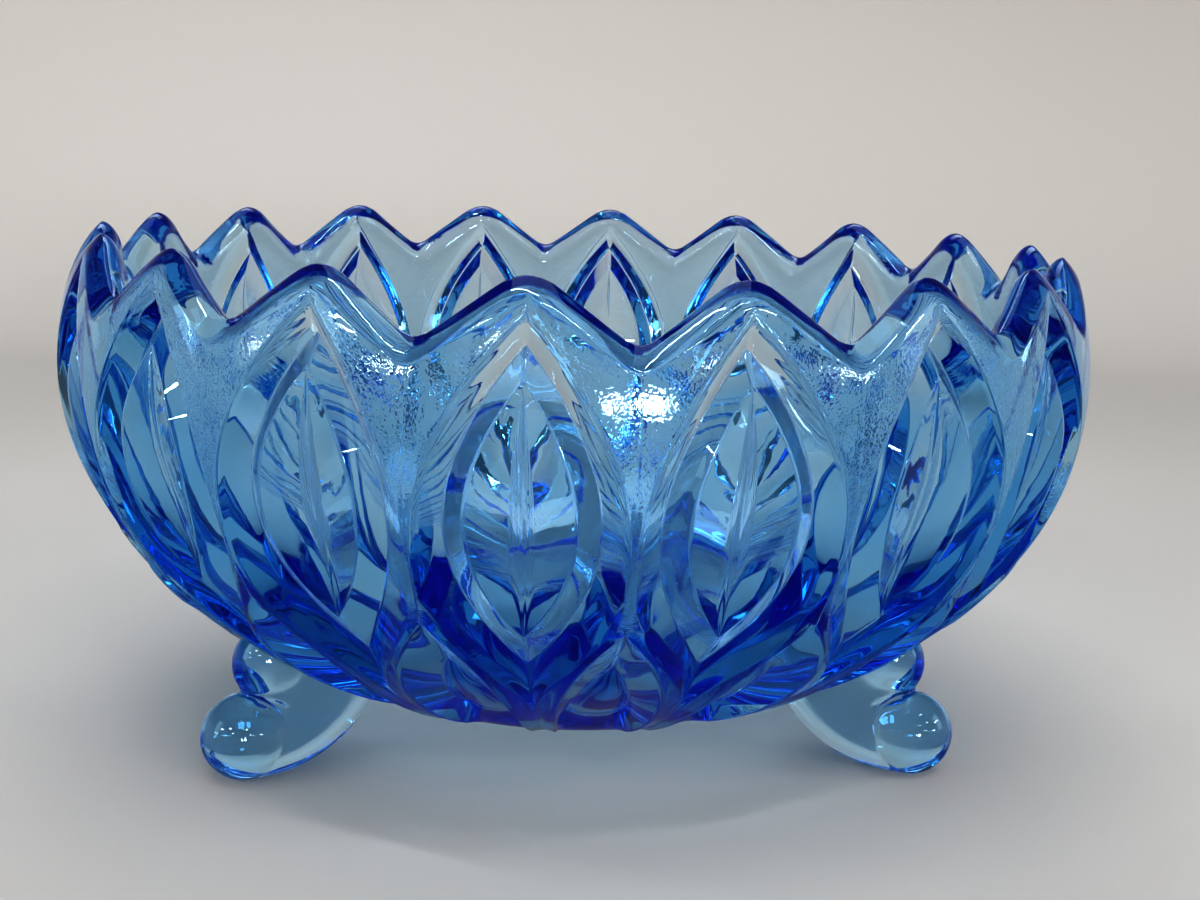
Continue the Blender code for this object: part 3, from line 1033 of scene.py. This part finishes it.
soft_panel("overhead", (0.0, 0.0, 2.9), (2.4, 2.0), 15)
soft_panel("left_side", (-2.6, -1.0, 1.14), (1.0, 1.6), 12)
soft_panel("right_side", (2.6, -0.8, 1.14), (0.8, 1.6), 10)
soft_panel("near_strip", (-0.60, -0.90, 2.9), (1.6, 0.05), 16)
soft_panel("middle_strip", (0.60, -1.60, 2.7), (1.6, 0.05), 16)
soft_panel("back_glow", (0.0, 0.34, 0.55), (0.5, 0.2), 0.2, (0, 0.06, 0.02), math.radians(70))

# %% [markdown]
# ## Windows and lamps
# The bright double patch on the bowl's front is a window of two panes behind the camera. Its two panels
# shine in a narrow beam, so they are bright in the glass and still hardly light the floor. The short
# streaks come from small warm lamps in the room, which stand in a loose row from the left to the right.

# %% Windows and lamps
WINDOW_SPREAD = math.radians(30)
LAMP_DISTANCE = 3.0
LAMP_SIZE = (0.45, 0.05)
LAMP_POWER = 5
LAMP_COLOUR = (1.0, 0.84, 0.68)
LAMP_WAYS = (
    (-70, 12), (-56, 25), (-44, 14), (-32, 33), (-18, 22), (12, 31), (26, 17), (38, 34), (52, 13), (68, 26)
)

soft_panel("wide_window", (0.24, -1.5, 0.22), (0.16, 0.17), 0.17, spread=WINDOW_SPREAD)
soft_panel("narrow_window", (0.04, -1.5, 0.20), (0.10, 0.14), 0.05, spread=WINDOW_SPREAD)
for number, ways in enumerate(LAMP_WAYS):
    azimuth, elevation = (math.radians(degrees) for degrees in ways)
    ahead = Vector((math.sin(azimuth), -math.cos(azimuth), 0)) * math.cos(elevation)
    place = LAMP_DISTANCE * (ahead + Vector((0, 0, math.sin(elevation))))
    soft_panel(f"lamp_{number}", place, LAMP_SIZE, LAMP_POWER, colour=LAMP_COLOUR)
print("lights in all:", len(bpy.data.lights))

# %% [markdown]
# ## The room
# Glass also shows the room round it, so the room isn't one flat grey: it is pale at the height of the
# eye and dark above and below, which gives the glass both clear faces and deep ones. The picture has
# more contrast than the plain view, as a photograph does, and a ray may meet many faces of glass before
# it leaves.

# %% Room and view
HORIZON = 0.50
DARK = 0.10
DARK_FROM = 0.45
ROOM_COLOUR = (1.0, 0.98, 0.96, 1)

world = bpy.data.worlds.new("pale_room")
world.use_nodes = True
room_nodes, room_links = world.node_tree.nodes, world.node_tree.links
direction = room_nodes.new("ShaderNodeTexCoord")
split = room_nodes.new("ShaderNodeSeparateXYZ")
level = room_nodes.new("ShaderNodeMath")
level.operation = "ABSOLUTE"
fade = room_nodes.new("ShaderNodeMapRange")
fade.interpolation_type = "SMOOTHSTEP"
fade.inputs["From Max"].default_value = DARK_FROM
fade.inputs["To Min"].default_value = HORIZON
fade.inputs["To Max"].default_value = DARK
room_links.new(direction.outputs["Generated"], split.inputs["Vector"])
room_links.new(split.outputs["Z"], level.inputs[0])
room_links.new(level.outputs["Value"], fade.inputs["Value"])
room_nodes["Background"].inputs["Color"].default_value = ROOM_COLOUR
room_links.new(fade.outputs["Result"], room_nodes["Background"].inputs["Strength"])
scene = bpy.context.scene
scene.world = world
scene.view_settings.view_transform = "Standard"
scene.view_settings.look = "High Contrast"
scene.cycles.max_bounces = 32
scene.cycles.transmission_bounces = 32
scene.cycles.glossy_bounces = 16
print("room:", HORIZON, "at the horizon,", DARK, "above and below")

# %% [markdown]
# ## Riding on the frame
# The bowl has no moving parts, so every piece rides on the one body. Each glass piece stands for its
# solid, which stays hidden behind it and keeps its place in collision.

# %% Ride, replace and finish
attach(bowl, "root")
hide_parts("bowl_body")
for place, foot in feet.items():
    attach(foot, "root")
    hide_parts(f"scroll_foot_{place}")
